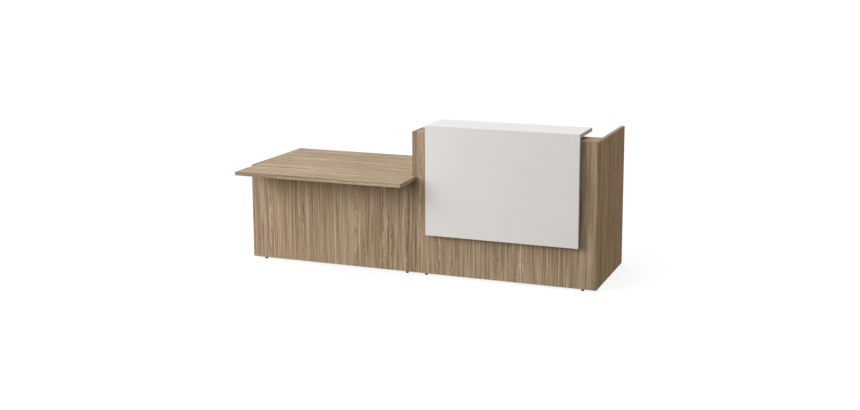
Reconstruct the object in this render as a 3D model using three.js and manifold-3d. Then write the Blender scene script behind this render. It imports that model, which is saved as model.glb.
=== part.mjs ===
// Reception desk in wood laminate: a low visitor section with an overhanging worktop, beside a tall
// section that carries a white folded counter on stand-offs. Millimetres, +Z up. Visitors stand on the
// -Y side and staff sit on the +Y side. The origin is on the floor, under the middle of the whole desk.

import * as THREE from 'three';
import { mergeVertices } from 'three/addons/utils/BufferGeometryUtils.js';
import loadManifold from 'manifold-3d';

// Boards
const BOARD = 28;
const EDGE_BREAK = 0.8;
const LOW_BAY = 1320;
const TALL_BAY = 1346;
const GABLE_DEPTH = 800;
const WORKTOP_HEIGHT = 740;
const TALL_HEIGHT = 1077;
const FLOOR_GAP = 13;
const OVERHANG = 300;
const LEDGE_DEPTH = 188;
const STEP_ROUND = 30;

// White counter: a front board and a shelf, mitred together
const COUNTER_BOARD = 28;
const COUNTER_WIDTH = 1156;
const COUNTER_BOTTOM = 319;
const COUNTER_DEPTH = 346;
const STAND_OFF = 28;

// Stand-offs and the screws through them
const STANDOFF_RADIUS = 16;
const STANDOFF_CHAMFER = 1.5;
const STANDOFF_INSET = 150;
const STANDOFF_COLUMNS = 3;
const LOWER_ROW_RISE = 110;
const UPPER_ROW_DROP = 120;
const SCREW_RADIUS = 3;
const SCREW_HEAD_RADIUS = 6.5;
const SCREW_HEAD_HEIGHT = 4;
const SCREW_HEAD_ROUND = 1.2;
const SCREW_TIP = 1;
const SCREW_BITE = 14;
const SOCKET_RADIUS = 2.3;
const SOCKET_DEPTH = 2.2;

// Dowels, glued into one board and seated in a blind bore of the next
const DOWEL_RADIUS = 4;
const DOWEL_ROOT = 6;
const DOWEL_WEB = 4;
const DOWEL_END_PLAY = 1;
const DOWEL_INSET = 70;
const FRONT_DOWELS = 3;
const LEDGE_DOWELS = 2;
const LEDGE_DOWEL_INSET = 45;

// Pressed steel angles
const PLATE = 3;
const BEND = 3;
const BRACKET_LEG = 45;
const BRACKET_WIDTH = 40;
const BRACKET_HOLE_RADIUS = 2.75;
const BRACKET_HOLE_INSET = 16;
const BRACKET_INSET = 280;
const FRONT_BRACKETS = 2;

// Levelling feet
const PAD_RADIUS = 12;
const PAD_NECK_RADIUS = 9;
const PAD_HEIGHT = 9;
const PAD_RIM = 4;
const PAD_CHAMFER = 1;
const PAD_FLOOR = 3;
const STEM_RADIUS = 4;
const STEM_REACH = 40;
const STEM_TIP = 1;
const COLLAR_RADIUS = 7.5;
const INSERT_RADIUS = 6.5;
const INSERT_LENGTH = 25;
const INSERT_END_PLAY = 3;
const FRONT_FOOT_INSET = 75;
const LOW_RIGHT_FOOT_INSET = 52;
const REAR_FOOT_INSET = 70;
const REAR_FOOT_REACH = 26;
const FOOT_BRACKET_HEIGHT = 70;
const FOOT_BRACKET_LENGTH = 46;
const FOOT_BRACKET_WIDTH = 50;
const FOOT_BRACKET_HOLES = 2;
const FOOT_BRACKET_HOLE_SPACING = 26;
const NUT_HEIGHT = 8;

// Cable port in the operator worktop
const PORT_RADIUS = 40;
const PORT_FLANGE = 6;
const PORT_FLANGE_HEIGHT = 2.5;
const PORT_FLANGE_ROUND = 1;
const PORT_WALL = 2;
const PORT_SEAT = 3;
const PORT_DEPTH = 25;
const PORT_FROM_GABLE = 210;
const PORT_FROM_FRONT = 120;
const CAP_HEIGHT = 2.2;
const CAP_SLOT_WIDTH = 24;
const CAP_SLOT_START = 10;

// Clearances, and how finely round pieces are divided
const JOINT_GAP = 0.3;
const TURNING_GAP = 0.7;
const CUT_SPARE = 5;
const WELD = 1e-3;
const PEG_SIDES = 8;
const ROUND_SIDES = 16;
const PORT_SIDES = 32;
const HEX_SIDES = 6;
const CURVE_STEPS = 6;

// Places that follow from the sizes, before the origin is moved to the middle of the desk
const LEFT_INNER = BOARD;
const MIDDLE_LEFT = LEFT_INNER + LOW_BAY;
const MIDDLE_RIGHT = MIDDLE_LEFT + BOARD;
const RIGHT_INNER = MIDDLE_RIGHT + TALL_BAY;
const OVERALL_WIDTH = RIGHT_INNER + BOARD;
const WORKTOP_UNDERSIDE = WORKTOP_HEIGHT - BOARD;
const LEDGE_UNDERSIDE = TALL_HEIGHT - BOARD;
const LEDGE_BACK = BOARD + LEDGE_DEPTH;
const FRONT_MIDDLE = BOARD / 2;
const WORKTOP_MIDDLE = WORKTOP_HEIGHT - BOARD / 2;
const LEDGE_MIDDLE = TALL_HEIGHT - BOARD / 2;
const DOWEL_REACH = (BOARD - DOWEL_WEB) / 2 - DOWEL_END_PLAY;
const COUNTER_MIDDLE = (MIDDLE_LEFT + OVERALL_WIDTH) / 2;
const COUNTER_LEFT = COUNTER_MIDDLE - COUNTER_WIDTH / 2;
const COUNTER_RIGHT = COUNTER_MIDDLE + COUNTER_WIDTH / 2;
const COUNTER_BACK_FACE = -STAND_OFF;
const COUNTER_FACE = COUNTER_BACK_FACE - COUNTER_BOARD;
const SHELF_UNDERSIDE = TALL_HEIGHT + STAND_OFF;
const SHELF_TOP = SHELF_UNDERSIDE + COUNTER_BOARD;
const SHELF_BACK = COUNTER_FACE + COUNTER_DEPTH;

const wasm = await loadManifold();
wasm.setup();

const X = new THREE.Vector3(1, 0, 0);
const Y = new THREE.Vector3(0, 1, 0);
const Z = new THREE.Vector3(0, 0, 1);
const LEFT = X.clone().negate();
const FRONT = Y.clone().negate();

const finishes = {
  laminate: new THREE.MeshStandardMaterial({ color: 0x9b876d, roughness: 0.55, metalness: 0 }),
  white: new THREE.MeshStandardMaterial({ color: 0xdedbd6, roughness: 0.45, metalness: 0 }),
  steel: new THREE.MeshStandardMaterial({ color: 0xa9abad, roughness: 0.4, metalness: 0.9 }),
  aluminium: new THREE.MeshStandardMaterial({ color: 0xb9bbbd, roughness: 0.35, metalness: 0.9 }),
  black: new THREE.MeshStandardMaterial({ color: 0x1b1b1c, roughness: 0.6, metalness: 0 }),
};

function point(x, y, z) {
  return new THREE.Vector3(x, y, z);
}

// Evenly spaced places between two ends, the first and last set in from them.
function spread(low, high, inset, count) {
  const step = (high - low - 2 * inset) / (count - 1);
  return Array.from({ length: count }, (_, index) => low + inset + index * step);
}

// A closed geometry as a solid that can be joined and cut.
function solidOf(geometry) {
  const bare = geometry.clone();
  bare.deleteAttribute('normal');
  bare.deleteAttribute('uv');
  const merged = mergeVertices(bare, WELD);
  const vertProperties = merged.attributes.position.array;
  const triVerts = new Uint32Array(merged.index.array);
  return new wasm.Manifold(new wasm.Mesh({ numProp: 3, vertProperties, triVerts }));
}

// A geometry with others joined to it and then others cut from it.
function shaped(geometry, joined, cut) {
  let solid = solidOf(geometry);
  joined.forEach((addition) => {
    solid = solid.add(solidOf(addition));
  });
  cut.forEach((tool) => {
    solid = solid.subtract(solidOf(tool));
  });
  const { vertProperties, triVerts } = solid.getMesh();
  const result = new THREE.BufferGeometry();
  result.setAttribute('position', new THREE.BufferAttribute(new Float32Array(vertProperties), 3));
  result.setIndex(new THREE.BufferAttribute(new Uint32Array(triVerts), 1));
  return result;
}

// How an outline is turned so that it is raised along X, Y or Z: its own X and Y then run along the
// other two axes, in order.
const turns = {
  x: new THREE.Matrix4().makeBasis(Y, Z, X),
  y: new THREE.Matrix4().makeBasis(X, Z, FRONT),
  z: new THREE.Matrix4().makeBasis(X, Y, Z),
};
const planes = { x: ['y', 'z'], y: ['x', 'z'], z: ['x', 'y'] };

// An outline raised from one place to another along an axis, with its face edges broken by a flat.
function raised(outline, axis, from, to, edge) {
  const geometry = new THREE.ExtrudeGeometry(outline, {
    depth: to - from - 2 * edge,
    bevelEnabled: edge > 0,
    bevelThickness: edge,
    bevelSize: edge,
    bevelOffset: -edge,
    bevelSegments: 1,
    curveSegments: CURVE_STEPS,
  });
  geometry.translate(0, 0, edge);
  geometry.applyMatrix4(turns[axis]);
  const start = axis === 'y' ? to : from;
  const shift = point(0, 0, 0).setComponent('xyz'.indexOf(axis), start);
  return geometry.translate(shift.x, shift.y, shift.z);
}

function polygon(corners) {
  return new THREE.Shape(corners.map(([across, up]) => new THREE.Vector2(across, up)));
}

function rectangle(left, bottom, right, top) {
  return polygon([[left, bottom], [right, bottom], [right, top], [left, top]]);
}

// A rectangular board between two corners, thin along one axis.
function slab(low, high, thin) {
  const [across, up] = planes[thin];
  const outline = rectangle(low[across], low[up], high[across], high[up]);
  return raised(outline, thin, low[thin], high[thin], EDGE_BREAK);
}

// A round bar between two points.
function rod(from, to, radius, sides) {
  const run = to.clone().sub(from);
  const middle = from.clone().add(to).divideScalar(2);
  const geometry = new THREE.CylinderGeometry(radius, radius, run.length(), sides);
  geometry.applyQuaternion(new THREE.Quaternion().setFromUnitVectors(Y, run.normalize()));
  return geometry.translate(middle.x, middle.y, middle.z);
}

// A profile of radius and height pairs turned about Z.
function turned(profile, sides) {
  const points = profile.map(([radius, height]) => new THREE.Vector2(radius, height));
  return new THREE.LatheGeometry(points, sides).rotateX(Math.PI / 2);
}

function hexBar(radius, bottom, top) {
  return rod(point(0, 0, bottom), point(0, 0, top), radius, HEX_SIDES);
}

function named(name, geometry, finish) {
  const mesh = new THREE.Mesh(geometry, finishes[finish]);
  mesh.name = name;
  return mesh;
}

// Dowel rows: the points where the dowels cross a joint, and the way they point into the neighbour.
function dowelRow(points, direction) {
  return { points, direction };
}

function pegs(rows) {
  return rows.flatMap(({ points, direction }) => points.map((seat) => rod(
    seat.clone().addScaledVector(direction, -DOWEL_ROOT),
    seat.clone().addScaledVector(direction, DOWEL_REACH),
    DOWEL_RADIUS,
    PEG_SIDES,
  )));
}

function pegBores(rows) {
  return rows.flatMap(({ points, direction }) => points.map((seat) => rod(
    seat.clone().addScaledVector(direction, -CUT_SPARE),
    seat.clone().addScaledVector(direction, DOWEL_REACH + DOWEL_END_PLAY),
    DOWEL_RADIUS + JOINT_GAP,
    PEG_SIDES,
  )));
}

const lowFrontRises = spread(FLOOR_GAP, WORKTOP_UNDERSIDE, DOWEL_INSET, FRONT_DOWELS);
const tallFrontRises = spread(FLOOR_GAP, TALL_HEIGHT, DOWEL_INSET, FRONT_DOWELS);
const worktopSetbacks = spread(BOARD, GABLE_DEPTH, DOWEL_INSET, FRONT_DOWELS);
const ledgeSetbacks = spread(BOARD, LEDGE_BACK, LEDGE_DOWEL_INSET, LEDGE_DOWELS);
const lowFrontRun = spread(LEFT_INNER, MIDDLE_LEFT, DOWEL_INSET, FRONT_DOWELS);
const ledgeRun = spread(MIDDLE_RIGHT, RIGHT_INNER, DOWEL_INSET, FRONT_DOWELS);

const dowels = {
  lowFrontLeft: dowelRow(lowFrontRises.map((z) => point(LEFT_INNER, FRONT_MIDDLE, z)), LEFT),
  lowFrontRight: dowelRow(lowFrontRises.map((z) => point(MIDDLE_LEFT, FRONT_MIDDLE, z)), X),
  lowFrontTop: dowelRow(lowFrontRun.map((x) => point(x, FRONT_MIDDLE, WORKTOP_UNDERSIDE)), Z),
  tallFrontLeft: dowelRow(tallFrontRises.map((z) => point(MIDDLE_RIGHT, FRONT_MIDDLE, z)), LEFT),
  tallFrontRight: dowelRow(tallFrontRises.map((z) => point(RIGHT_INNER, FRONT_MIDDLE, z)), X),
  ledgeLeft: dowelRow(ledgeSetbacks.map((y) => point(MIDDLE_RIGHT, y, LEDGE_MIDDLE)), LEFT),
  ledgeRight: dowelRow(ledgeSetbacks.map((y) => point(RIGHT_INNER, y, LEDGE_MIDDLE)), X),
  ledgeFront: dowelRow(ledgeRun.map((x) => point(x, BOARD, LEDGE_MIDDLE)), FRONT),
  lowTopLeft: dowelRow(worktopSetbacks.map((y) => point(LEFT_INNER, y, WORKTOP_MIDDLE)), LEFT),
  lowTopRight: dowelRow(worktopSetbacks.map((y) => point(MIDDLE_LEFT, y, WORKTOP_MIDDLE)), X),
  deskTopLeft: dowelRow(worktopSetbacks.map((y) => point(MIDDLE_RIGHT, y, WORKTOP_MIDDLE)), LEFT),
  deskTopRight: dowelRow(worktopSetbacks.map((y) => point(RIGHT_INNER, y, WORKTOP_MIDDLE)), X),
};

// Fixings of the counter: where each screw's head sits on the wood, and the way it points.
const fixingRun = spread(COUNTER_LEFT, COUNTER_RIGHT, STANDOFF_INSET, STANDOFF_COLUMNS);
const fixingRises = [COUNTER_BOTTOM + LOWER_ROW_RISE, LEDGE_UNDERSIDE - UPPER_ROW_DROP];
const shelfSetback = BOARD + LEDGE_DEPTH / 2;
const frontFixings = fixingRises.flatMap((z) => fixingRun.map((x) => point(x, BOARD, z)));
const shelfFixings = fixingRun.map((x) => point(x, shelfSetback, LEDGE_UNDERSIDE));

function screwBores(fixings, direction) {
  return fixings.map((seat) => rod(
    seat.clone().addScaledVector(direction, -CUT_SPARE),
    seat.clone().addScaledVector(direction, BOARD + STAND_OFF + SCREW_BITE + JOINT_GAP),
    SCREW_RADIUS + JOINT_GAP,
    PEG_SIDES,
  ));
}

// Levelling feet: the front ones stand in the front boards, the rear ones on brackets inside the gables.
const frontFeet = {
  low_left: LEFT_INNER + FRONT_FOOT_INSET,
  low_right: MIDDLE_LEFT - LOW_RIGHT_FOOT_INSET,
  tall_left: MIDDLE_RIGHT + FRONT_FOOT_INSET,
  tall_right: RIGHT_INNER - FRONT_FOOT_INSET,
};
const rearFeet = {
  rear_left: { face: LEFT_INNER, inward: 1 },
  rear_middle: { face: MIDDLE_RIGHT, inward: 1 },
  rear_right: { face: RIGHT_INNER, inward: -1 },
};

function footBores(places) {
  const radius = INSERT_RADIUS + JOINT_GAP;
  const top = FLOOR_GAP + STEM_REACH + INSERT_END_PLAY;
  return places.map((x) => rod(
    point(x, FRONT_MIDDLE, FLOOR_GAP - CUT_SPARE),
    point(x, FRONT_MIDDLE, top),
    radius,
    ROUND_SIDES,
  ));
}

function leftGable() {
  const board = slab(point(0, 0, FLOOR_GAP), point(BOARD, GABLE_DEPTH, WORKTOP_HEIGHT), 'x');
  return shaped(board, [], pegBores([dowels.lowFrontLeft, dowels.lowTopLeft]));
}

// The middle gable is tall only as far back as the ledge. Behind that it steps down between the worktops.
function middleGable() {
  const outline = new THREE.Shape();
  outline.moveTo(0, FLOOR_GAP);
  outline.lineTo(GABLE_DEPTH, FLOOR_GAP);
  outline.lineTo(GABLE_DEPTH, WORKTOP_HEIGHT);
  outline.lineTo(LEDGE_BACK + STEP_ROUND, WORKTOP_HEIGHT);
  outline.absarc(
    LEDGE_BACK + STEP_ROUND,
    WORKTOP_HEIGHT + STEP_ROUND,
    STEP_ROUND,
    -Math.PI / 2,
    -Math.PI,
    true,
  );
  outline.lineTo(LEDGE_BACK, TALL_HEIGHT);
  outline.lineTo(0, TALL_HEIGHT);
  const board = raised(outline, 'x', MIDDLE_LEFT, MIDDLE_RIGHT, EDGE_BREAK);
  return shaped(board, [], pegBores([
    dowels.lowFrontRight,
    dowels.lowTopRight,
    dowels.tallFrontLeft,
    dowels.deskTopLeft,
    dowels.ledgeLeft,
  ]));
}

function rightGable() {
  const low = point(RIGHT_INNER, 0, FLOOR_GAP);
  const board = slab(low, point(OVERALL_WIDTH, GABLE_DEPTH, TALL_HEIGHT), 'x');
  return shaped(board, [], pegBores([dowels.tallFrontRight, dowels.deskTopRight, dowels.ledgeRight]));
}

function lowFront() {
  const low = point(LEFT_INNER + JOINT_GAP, 0, FLOOR_GAP);
  const board = slab(low, point(MIDDLE_LEFT - JOINT_GAP, BOARD, WORKTOP_UNDERSIDE - JOINT_GAP), 'y');
  const glued = pegs([dowels.lowFrontLeft, dowels.lowFrontRight, dowels.lowFrontTop]);
  return shaped(board, glued, footBores([frontFeet.low_left, frontFeet.low_right]));
}

function tallFront() {
  const low = point(MIDDLE_RIGHT + JOINT_GAP, 0, FLOOR_GAP);
  const board = slab(low, point(RIGHT_INNER - JOINT_GAP, BOARD, TALL_HEIGHT), 'y');
  return shaped(board, pegs([dowels.tallFrontLeft, dowels.tallFrontRight]), [
    ...pegBores([dowels.ledgeFront]),
    ...screwBores(frontFixings, FRONT),
    ...footBores([frontFeet.tall_left, frontFeet.tall_right]),
  ]);
}

// The low worktop overhangs the front and reaches across the front edge of the middle gable.
function lowWorktop() {
  const left = LEFT_INNER + JOINT_GAP;
  const right = MIDDLE_LEFT - JOINT_GAP;
  const outline = polygon([
    [left, -OVERHANG],
    [MIDDLE_RIGHT, -OVERHANG],
    [MIDDLE_RIGHT, -JOINT_GAP],
    [right, -JOINT_GAP],
    [right, GABLE_DEPTH],
    [left, GABLE_DEPTH],
  ]);
  const board = raised(outline, 'z', WORKTOP_UNDERSIDE, WORKTOP_HEIGHT, EDGE_BREAK);
  const glued = pegs([dowels.lowTopLeft, dowels.lowTopRight]);
  return shaped(board, glued, pegBores([dowels.lowFrontTop]));
}

const port = point(RIGHT_INNER - PORT_FROM_GABLE, BOARD + PORT_FROM_FRONT, WORKTOP_HEIGHT);

function operatorWorktop() {
  const low = point(MIDDLE_RIGHT + JOINT_GAP, BOARD + JOINT_GAP, WORKTOP_UNDERSIDE);
  const board = slab(low, point(RIGHT_INNER - JOINT_GAP, GABLE_DEPTH, WORKTOP_HEIGHT), 'z');
  const hole = rod(
    point(port.x, port.y, WORKTOP_UNDERSIDE - CUT_SPARE),
    point(port.x, port.y, WORKTOP_HEIGHT + CUT_SPARE),
    PORT_RADIUS,
    PORT_SIDES,
  );
  return shaped(board, pegs([dowels.deskTopLeft, dowels.deskTopRight]), [hole]);
}

function counterLedge() {
  const low = point(MIDDLE_RIGHT + JOINT_GAP, BOARD + JOINT_GAP, LEDGE_UNDERSIDE);
  const board = slab(low, point(RIGHT_INNER - JOINT_GAP, LEDGE_BACK, TALL_HEIGHT), 'z');
  const glued = pegs([dowels.ledgeLeft, dowels.ledgeRight, dowels.ledgeFront]);
  return shaped(board, glued, screwBores(shelfFixings, Z));
}

// The two white boards are cut to meet on a 45 degree plane through the counter's front top edge.
function mitreWaste(shift, keepsFront) {
  const outer = [COUNTER_FACE + shift - CUT_SPARE, SHELF_TOP + CUT_SPARE];
  const inner = [COUNTER_BACK_FACE + shift + CUT_SPARE, SHELF_UNDERSIDE - CUT_SPARE];
  const corner = keepsFront ? [inner[0], outer[1]] : [outer[0], inner[1]];
  const outline = polygon([outer, inner, corner]);
  return raised(outline, 'x', COUNTER_LEFT - CUT_SPARE, COUNTER_RIGHT + CUT_SPARE, 0);
}

function counterFront() {
  const low = point(COUNTER_LEFT, COUNTER_FACE, COUNTER_BOTTOM);
  const board = slab(low, point(COUNTER_RIGHT, COUNTER_BACK_FACE, SHELF_TOP + EDGE_BREAK), 'y');
  const waste = mitreWaste(0, true);
  return shaped(board, [], [waste, ...screwBores(frontFixings, FRONT)]);
}

function counterShelf() {
  const low = point(COUNTER_LEFT, COUNTER_FACE - EDGE_BREAK, SHELF_UNDERSIDE);
  const board = slab(low, point(COUNTER_RIGHT, SHELF_BACK, SHELF_TOP), 'z');
  const waste = mitreWaste(JOINT_GAP * Math.SQRT2, false);
  return shaped(board, [], [waste, ...screwBores(shelfFixings, Z)]);
}

function standoff() {
  const inner = SCREW_RADIUS + JOINT_GAP;
  const bottom = JOINT_GAP;
  const top = STAND_OFF - JOINT_GAP;
  return turned([
    [inner, bottom],
    [STANDOFF_RADIUS - STANDOFF_CHAMFER, bottom],
    [STANDOFF_RADIUS, bottom + STANDOFF_CHAMFER],
    [STANDOFF_RADIUS, top - STANDOFF_CHAMFER],
    [STANDOFF_RADIUS - STANDOFF_CHAMFER, top],
    [inner, top],
    [inner, bottom],
  ], ROUND_SIDES);
}

// A button head screw, its head seated at zero and its shank pointing up, with a hexagon socket.
function screw() {
  const tip = BOARD + STAND_OFF + SCREW_BITE;
  const seat = -JOINT_GAP;
  const crown = seat - SCREW_HEAD_HEIGHT;
  const body = turned([
    [0, crown],
    [SCREW_HEAD_RADIUS - SCREW_HEAD_ROUND, crown],
    [SCREW_HEAD_RADIUS, crown + SCREW_HEAD_ROUND],
    [SCREW_HEAD_RADIUS, seat],
    [SCREW_RADIUS, seat],
    [SCREW_RADIUS, tip - SCREW_TIP],
    [SCREW_RADIUS - SCREW_TIP, tip],
    [0, tip],
  ], PEG_SIDES);
  return shaped(body, [], [hexBar(SOCKET_RADIUS, crown - CUT_SPARE, crown + SOCKET_DEPTH)]);
}

// A bent plate with one leg up along Z and one out along X, its outer corner at the origin.
function angle(up, out, width) {
  const outside = BEND + PLATE;
  const outline = new THREE.Shape();
  outline.moveTo(outside, 0);
  outline.lineTo(out, 0);
  outline.lineTo(out, PLATE);
  outline.lineTo(outside, PLATE);
  outline.absarc(outside, outside, BEND, -Math.PI / 2, -Math.PI, true);
  outline.lineTo(PLATE, up);
  outline.lineTo(0, up);
  outline.lineTo(0, outside);
  outline.absarc(outside, outside, outside, Math.PI, Math.PI * 1.5, false);
  return raised(outline, 'y', -width / 2, width / 2, 0);
}

function bracket() {
  const place = BRACKET_LEG - BRACKET_HOLE_INSET;
  const reach = PLATE + CUT_SPARE;
  const holes = [
    rod(point(place, 0, -CUT_SPARE), point(place, 0, reach), BRACKET_HOLE_RADIUS, PEG_SIDES),
    rod(point(-CUT_SPARE, 0, place), point(reach, 0, place), BRACKET_HOLE_RADIUS, PEG_SIDES),
  ];
  return shaped(angle(BRACKET_LEG, BRACKET_LEG, BRACKET_WIDTH), [], holes);
}

// The rear feet's bracket carries a welded nut on its foot plate.
function footBracket() {
  const nutTop = PLATE + NUT_HEIGHT;
  const nut = hexBar(COLLAR_RADIUS, PLATE / 2, nutTop).translate(REAR_FOOT_REACH, 0, 0);
  const thread = rod(
    point(REAR_FOOT_REACH, 0, -CUT_SPARE),
    point(REAR_FOOT_REACH, 0, nutTop + CUT_SPARE),
    STEM_RADIUS + JOINT_GAP,
    ROUND_SIDES,
  );
  const rise = FOOT_BRACKET_HEIGHT - BRACKET_HOLE_INSET;
  const span = FOOT_BRACKET_HOLE_SPACING / 2;
  const holes = spread(-span, span, 0, FOOT_BRACKET_HOLES).map((y) => rod(
    point(-CUT_SPARE, y, rise),
    point(PLATE + CUT_SPARE, y, rise),
    BRACKET_HOLE_RADIUS,
    PEG_SIDES,
  ));
  const plate = angle(FOOT_BRACKET_HEIGHT, FOOT_BRACKET_LENGTH, FOOT_BRACKET_WIDTH);
  return shaped(plate, [nut], [thread, ...holes]);
}

function footPad() {
  const socket = STEM_RADIUS + JOINT_GAP;
  return turned([
    [0, 0],
    [PAD_RADIUS - PAD_CHAMFER, 0],
    [PAD_RADIUS, PAD_CHAMFER],
    [PAD_RADIUS, PAD_RIM],
    [PAD_NECK_RADIUS, PAD_HEIGHT],
    [socket, PAD_HEIGHT],
    [socket, PAD_FLOOR],
    [0, PAD_FLOOR],
  ], ROUND_SIDES);
}

// The stem turns in the pad's socket. Its hexagon collar meets the desk when the foot is screwed home.
function footStem() {
  const bottom = PAD_FLOOR + JOINT_GAP;
  const top = FLOOR_GAP + STEM_REACH;
  const bar = turned([
    [0, bottom],
    [STEM_RADIUS, bottom],
    [STEM_RADIUS, top - STEM_TIP],
    [STEM_RADIUS - STEM_TIP, top],
    [0, top],
  ], ROUND_SIDES);
  return shaped(bar, [hexBar(COLLAR_RADIUS, PAD_HEIGHT + JOINT_GAP, FLOOR_GAP - JOINT_GAP)], []);
}

function footInsert() {
  const inner = STEM_RADIUS + JOINT_GAP;
  const top = FLOOR_GAP + INSERT_LENGTH;
  return turned([
    [inner, FLOOR_GAP],
    [INSERT_RADIUS, FLOOR_GAP],
    [INSERT_RADIUS, top],
    [inner, top],
    [inner, FLOOR_GAP],
  ], ROUND_SIDES);
}

// The cable port's sleeve hangs by its flange. A step inside the flange carries the cap.
const sleeveRadius = PORT_RADIUS - JOINT_GAP;
const sleeveBore = sleeveRadius - PORT_WALL - PORT_SEAT;
const flangeTop = JOINT_GAP + PORT_FLANGE_HEIGHT;
const capSeat = flangeTop - CAP_HEIGHT - JOINT_GAP;

function grommetSleeve() {
  const flange = PORT_RADIUS + PORT_FLANGE;
  const recess = sleeveRadius - PORT_WALL;
  return turned([
    [sleeveBore, -PORT_DEPTH],
    [sleeveRadius, -PORT_DEPTH],
    [sleeveRadius, JOINT_GAP],
    [flange, JOINT_GAP],
    [flange, flangeTop - PORT_FLANGE_ROUND],
    [flange - PORT_FLANGE_ROUND, flangeTop],
    [recess, flangeTop],
    [recess, capSeat],
    [sleeveBore, capSeat],
    [sleeveBore, -PORT_DEPTH],
  ], PORT_SIDES);
}

function grommetCap() {
  const radius = sleeveRadius - PORT_WALL - TURNING_GAP;
  const bottom = capSeat + JOINT_GAP;
  const top = bottom + CAP_HEIGHT;
  const disc = rod(point(0, 0, bottom), point(0, 0, top), radius, PORT_SIDES);
  const half = CAP_SLOT_WIDTH / 2;
  const slot = new THREE.Shape();
  slot.moveTo(-half, -PORT_RADIUS);
  slot.lineTo(half, -PORT_RADIUS);
  slot.lineTo(half, -CAP_SLOT_START - half);
  slot.absarc(0, -CAP_SLOT_START - half, half, 0, Math.PI, false);
  return shaped(disc, [], [raised(slot, 'z', bottom - CUT_SPARE, top + CUT_SPARE, 0)]);
}

function boards() {
  const group = new THREE.Group();
  group.add(
    named('left_gable', leftGable(), 'laminate'),
    named('middle_gable', middleGable(), 'laminate'),
    named('right_gable', rightGable(), 'laminate'),
    named('low_front_panel', lowFront(), 'laminate'),
    named('tall_front_panel', tallFront(), 'laminate'),
    named('low_worktop', lowWorktop(), 'laminate'),
    named('operator_worktop', operatorWorktop(), 'laminate'),
    named('counter_ledge', counterLedge(), 'laminate'),
  );
  return group;
}

// Each fixing is a stand-off between wood and counter, and a screw through it from behind.
function fixings(label, seats, direction) {
  const group = new THREE.Group();
  const turn = new THREE.Quaternion().setFromUnitVectors(Z, direction);
  seats.forEach((seat, index) => {
    const spacer = named(`${label}_standoff_${index + 1}`, standoff(), 'aluminium');
    spacer.position.copy(seat).addScaledVector(direction, BOARD);
    spacer.quaternion.copy(turn);
    const bolt = named(`${label}_screw_${index + 1}`, screw(), 'steel');
    bolt.position.copy(seat);
    bolt.quaternion.copy(turn);
    group.add(spacer, bolt);
  });
  return group;
}

function counter() {
  const group = new THREE.Group();
  group.add(
    named('counter_front', counterFront(), 'white'),
    named('counter_shelf', counterShelf(), 'white'),
    fixings('front', frontFixings, FRONT),
    fixings('shelf', shelfFixings, Z),
  );
  return group;
}

// Brackets hang in the corner under a worktop: turned over, and facing away from the upright board.
function worktopBrackets() {
  const group = new THREE.Group();
  const height = WORKTOP_UNDERSIDE - JOINT_GAP;
  const setback = GABLE_DEPTH - BRACKET_INSET;
  const place = (name, x, y, facing) => {
    const holder = new THREE.Group();
    holder.position.set(x, y, height);
    holder.rotation.z = facing;
    const plate = named(name, bracket(), 'steel');
    plate.rotation.x = Math.PI;
    holder.add(plate);
    group.add(holder);
  };
  const bays = { low: [LEFT_INNER, MIDDLE_LEFT], operator: [MIDDLE_RIGHT, RIGHT_INNER] };
  Object.entries(bays).forEach(([label, [left, right]]) => {
    place(`${label}_bracket_left`, left + JOINT_GAP, setback, 0);
    place(`${label}_bracket_right`, right - JOINT_GAP, setback, Math.PI);
    spread(left, right, BRACKET_INSET, FRONT_BRACKETS).forEach((x, index) => {
      place(`${label}_bracket_front_${index + 1}`, x, BOARD + JOINT_GAP, Math.PI / 2);
    });
  });
  return group;
}

function foot(label, x, y) {
  const group = new THREE.Group();
  group.position.set(x, y, 0);
  group.add(
    named(`foot_pad_${label}`, footPad(), 'black'),
    named(`foot_stem_${label}`, footStem(), 'steel'),
  );
  return group;
}

function feet() {
  const group = new THREE.Group();
  Object.entries(frontFeet).forEach(([label, x]) => {
    const sleeve = named(`foot_insert_${label}`, footInsert(), 'steel');
    sleeve.position.set(x, FRONT_MIDDLE, 0);
    group.add(foot(label, x, FRONT_MIDDLE), sleeve);
  });
  const setback = GABLE_DEPTH - REAR_FOOT_INSET;
  Object.entries(rearFeet).forEach(([label, { face, inward }]) => {
    const corner = face + inward * JOINT_GAP;
    const plate = named(`foot_bracket_${label}`, footBracket(), 'steel');
    plate.position.set(corner, setback, FLOOR_GAP);
    plate.rotation.z = inward > 0 ? 0 : Math.PI;
    group.add(foot(label, corner + inward * REAR_FOOT_REACH, setback), plate);
  });
  return group;
}

function cablePort() {
  const group = new THREE.Group();
  group.position.copy(port);
  group.add(
    named('grommet_sleeve', grommetSleeve(), 'black'),
    named('grommet_cap', grommetCap(), 'black'),
  );
  return group;
}

const desk = new THREE.Group();
const placed = new THREE.Group();
placed.position.set(-OVERALL_WIDTH / 2, (OVERHANG - GABLE_DEPTH) / 2, 0);
placed.add(boards(), counter(), worktopBrackets(), feet(), cablePort());
desk.add(placed);

export default desk;
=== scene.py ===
"""Finishes, small fittings, light and camera of the reception desk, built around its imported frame."""

import math
from collections import namedtuple

import bmesh
import bpy
from mathutils import Matrix, Vector


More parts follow.
